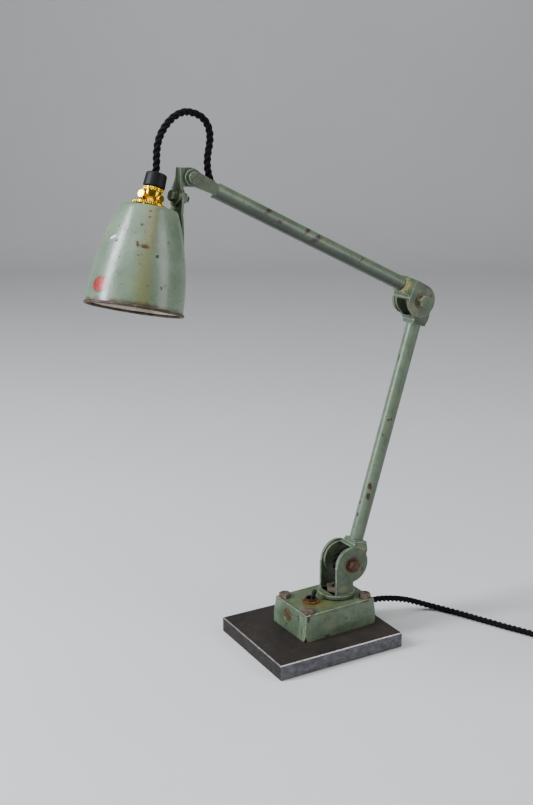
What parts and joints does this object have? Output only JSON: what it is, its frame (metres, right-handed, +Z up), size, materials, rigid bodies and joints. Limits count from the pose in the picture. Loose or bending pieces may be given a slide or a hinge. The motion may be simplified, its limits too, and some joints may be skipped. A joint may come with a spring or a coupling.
{
  "type": "jointed desk lamp",
  "caption": "Jointed metal desk lamp: bell shade on hinged tube arms with friction pivots, swivelling on a switch box bolted to a steel plate, with braided flex and plug.",
  "frame": {"origin": "middle of the base plate's underside, on the table", "axes": "+Z up; the arms move in the XZ plane, with the shade towards -X; +Y is the far side from the viewer"},
  "size_m": [0.5622, 0.2496, 0.4858],
  "materials": {
    "plate_steel": "dark mill scale on top, ground edges",
    "aged_green_paint": "aged grey-green enamel, chipped and rust spotted",
    "rusty_steel": "rusted steel",
    "bright_steel": "worn bright steel",
    "polished_brass": "polished",
    "dull_brass": "dull and tarnished",
    "black_plastic": "satin black",
    "brown_moulding": "dark brown moulding",
    "white_ceramic": "glazed off-white",
    "bulb_metal": "plain",
    "opal_glass": "frosted",
    "braided_flex": "twisted black braid",
    "tie_plastic": "grey-black tie"
  },
  "bodies": {
    "base": {"base_plate": "plate_steel", "switch_box": "aged_green_paint", "box_bolts": "rusty_steel", "end_plug": "dull_brass", "terminal_block": "white_ceramic", "switch_body": "brown_moulding", "switch_nut": "dull_brass", "flex_gland": "black_plastic", "swivel_washer": "rusty_steel", "mains_flex": "braided_flex", "mains_coil": "braided_flex", "coil_tie": "tie_plastic", "plug_body": "black_plastic", "plug_pins": "dull_brass"},
    "yoke": {"yoke": "aged_green_paint", "swivel_stud": "rusty_steel", "swivel_nut": "dull_brass", "shoulder_bolt": "rusty_steel", "shoulder_nut": "rusty_steel", "shoulder_washers": "rusty_steel", "flex_at_shoulder": "braided_flex"},
    "lower_arm": {"shoulder_bush": "dull_brass", "shoulder_fork": "aged_green_paint", "lower_tube": "aged_green_paint", "elbow_knuckle": "aged_green_paint", "elbow_bush": "dull_brass", "flex_in_lower_tube": "braided_flex"},
    "upper_arm": {"elbow_fork": "aged_green_paint", "upper_tube": "aged_green_paint", "elbow_bolt": "aged_green_paint", "elbow_nut": "aged_green_paint", "elbow_washers": "aged_green_paint", "head_tongue": "aged_green_paint", "head_screw": "bright_steel", "head_nut": "rusty_steel", "flex_in_upper_tube": "braided_flex", "flex_at_elbow": "braided_flex", "head_flex_arm": "braided_flex"},
    "head": {"head_link": "aged_green_paint", "tilt_bolt": "aged_green_paint", "tilt_nut": "rusty_steel", "tilt_washers": "aged_green_paint"},
    "shade": {"shade_strap": "aged_green_paint", "strap_rivets": "aged_green_paint", "shade": "aged_green_paint", "shade_rim": "rusty_steel", "holder_cap": "polished_brass", "holder_screws": "polished_brass", "holder_ring": "polished_brass", "cord_grip": "black_plastic", "holder_body": "polished_brass", "holder_insert": "white_ceramic", "holder_shade_ring": "polished_brass", "bulb_cap": "bulb_metal", "bulb_glass": "opal_glass", "head_flex_shade": "braided_flex"},
    "switch_lever": {"switch_lever": "black_plastic"}
  },
  "joints": [
    {"name": "base_swivel", "type": "hinge", "parent": "base", "child": "yoke", "pos_m": [0.028, 0, 0.04], "axis": [0, 0, 1], "range_deg": [-170, 170]},
    {"name": "shoulder", "type": "hinge", "parent": "yoke", "child": "lower_arm", "pos_m": [0.0364, 0, 0.0725], "axis": [0, -1, 0], "range_deg": [-40, 30], "deforming": ["flex_at_shoulder"]},
    {"name": "elbow", "type": "hinge", "parent": "lower_arm", "child": "upper_arm", "pos_m": [0.10905, 0, 0.31464], "axis": [0, -1, 0], "range_deg": [-60, 40], "deforming": ["flex_at_elbow"]},
    {"name": "head_pivot", "type": "hinge", "parent": "upper_arm", "child": "head", "pos_m": [-0.1203, 0, 0.43306], "axis": [0, -1, 0], "range_deg": [-50, 40], "deforming": ["head_flex_arm"]},
    {"name": "shade_tilt", "type": "hinge", "parent": "head", "child": "shade", "pos_m": [-0.1293, 0.004, 0.41796], "axis": [0.9646, 0, -0.2639], "range_deg": [-30, 30], "deforming": ["head_flex_shade"]},
    {"name": "switch_toggle", "type": "hinge", "parent": "base", "child": "switch_lever", "pos_m": [-0.002, -0.002, 0.04], "axis": [0, 1, 0], "range_deg": [-48, 0]}
  ]
}
